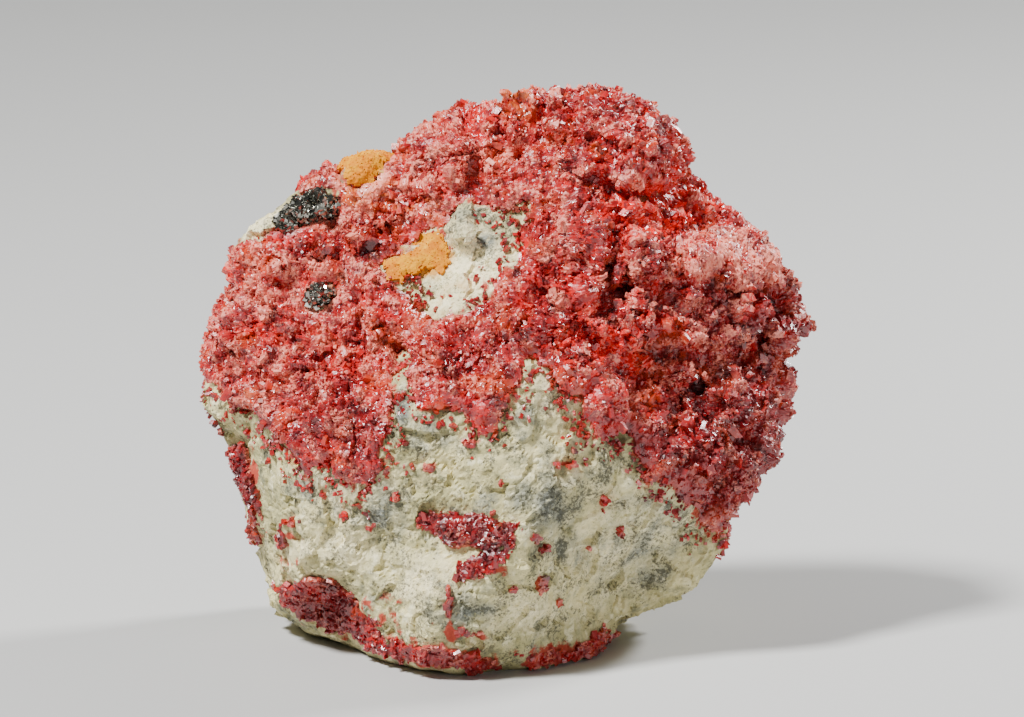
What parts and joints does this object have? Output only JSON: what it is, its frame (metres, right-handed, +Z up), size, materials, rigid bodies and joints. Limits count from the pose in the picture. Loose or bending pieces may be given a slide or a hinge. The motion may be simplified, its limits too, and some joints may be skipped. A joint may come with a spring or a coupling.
{
  "type": "mineral specimen",
  "caption": "Display-size mineral specimen: pale altered rock with a thick crust of small red realgar crystals, standing by itself on a flat broken base.",
  "frame": {"origin": "a point on the flat base, under the middle of the specimen", "axes": "+Z up from the base, +X to the right of someone who looks at the crystal-covered front, so the front faces -Y"},
  "size_m": [0.0923, 0.0618, 0.0843],
  "materials": {
    "matrix": "matte",
    "realgar": "resinous sparkle",
    "orpiment": "powdery",
    "metallic": "metallic"
  },
  "bodies": {
    "root": {"matrix_stone": "matrix", "realgar_crust": "realgar", "realgar_lens": "realgar", "realgar_vug_lining": "realgar", "realgar_base_seam": "realgar", "realgar_edge_seam": "realgar", "orpiment_top": "orpiment", "orpiment_window": "orpiment", "metallic_cluster_upper": "metallic", "metallic_cluster_lower": "metallic"}
  },
  "joints": []
}
